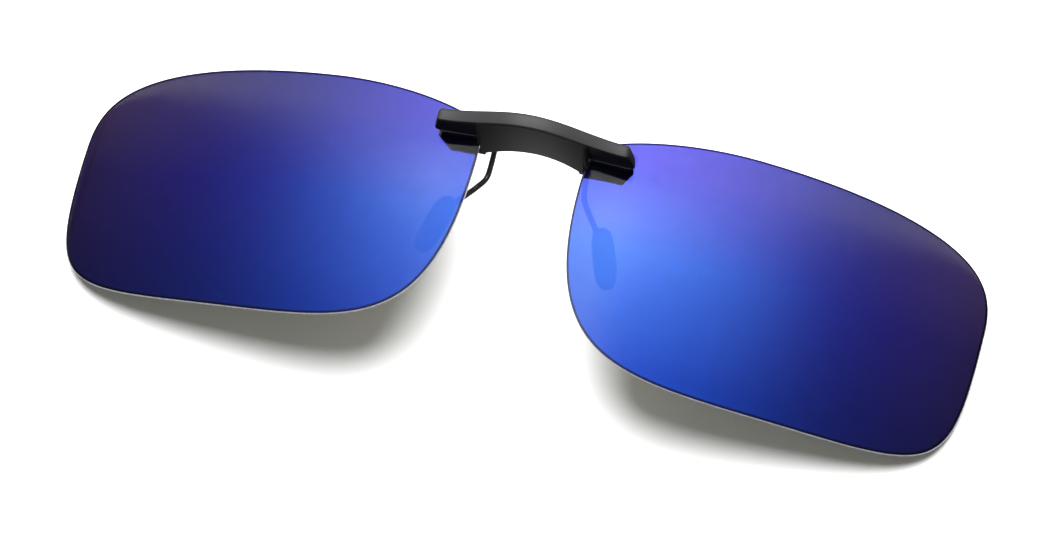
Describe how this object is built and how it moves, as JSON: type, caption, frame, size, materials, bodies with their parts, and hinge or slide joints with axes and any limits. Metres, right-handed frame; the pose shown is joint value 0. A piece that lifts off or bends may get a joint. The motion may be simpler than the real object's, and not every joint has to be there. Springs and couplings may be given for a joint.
{
  "type": "clip-on sunglasses",
  "caption": "Rimless clip-on sunglasses: blue mirrored lenses on a slim arched bridge, with a sprung lever clip and padded wire arms behind.",
  "frame": {"origin": "middle of the footprint of the sunglasses lying face up, on the surface they rest on", "axes": "+X to the right as seen from the front, +Y towards the top edge as worn, +Z the way the lenses look"},
  "size_m": [0.1368, 0.0382, 0.0243],
  "materials": {
    "bridge_plastic": "black moulded plastic, satin",
    "clip_plastic": "black moulded plastic, satin",
    "mirror_lens": "dark grey polarising plastic lens with a blue to violet mirror coating",
    "seat_rubber": "thin dark silicone seat, matt",
    "pad_rubber": "soft black silicone, matt",
    "black_wire": "spring wire in gloss black lacquer",
    "spring_steel": "drawn spring steel",
    "pin_steel": "turned steel",
    "screw_steel": "slotted steel screws"
  },
  "bodies": {
    "bridge": {"bridge_bar": "bridge_plastic", "bridge_back_plate": "bridge_plastic", "lens_left": "mirror_lens", "lens_right": "mirror_lens", "front_seat_left": "seat_rubber", "front_seat_right": "seat_rubber", "rear_seat_left": "seat_rubber", "rear_seat_right": "seat_rubber", "hinge_pin": "pin_steel", "pin_retainer": "pin_steel", "hinge_washer_left": "pin_steel", "hinge_washer_right": "pin_steel", "clip_spring": "spring_steel", "lens_screw_inner_left": "screw_steel", "lens_screw_outer_left": "screw_steel", "lens_screw_inner_right": "screw_steel", "lens_screw_outer_right": "screw_steel"},
    "clip": {"clip_lever": "clip_plastic", "lever_grip": "pad_rubber", "wire_arm_left": "black_wire", "wire_arm_right": "black_wire", "grip_pad_left": "pad_rubber", "grip_pad_right": "pad_rubber", "wire_screw_left": "screw_steel", "wire_screw_right": "screw_steel"}
  },
  "joints": [
    {"name": "clip_hinge", "type": "hinge", "parent": "bridge", "child": "clip", "pos_m": [0, 0.01512, 0.01144], "axis": [1, 0, 0], "range_deg": [0, 16], "stiffness_Nm_per_rad": 0.02, "springref_deg": -22.92}
  ]
}
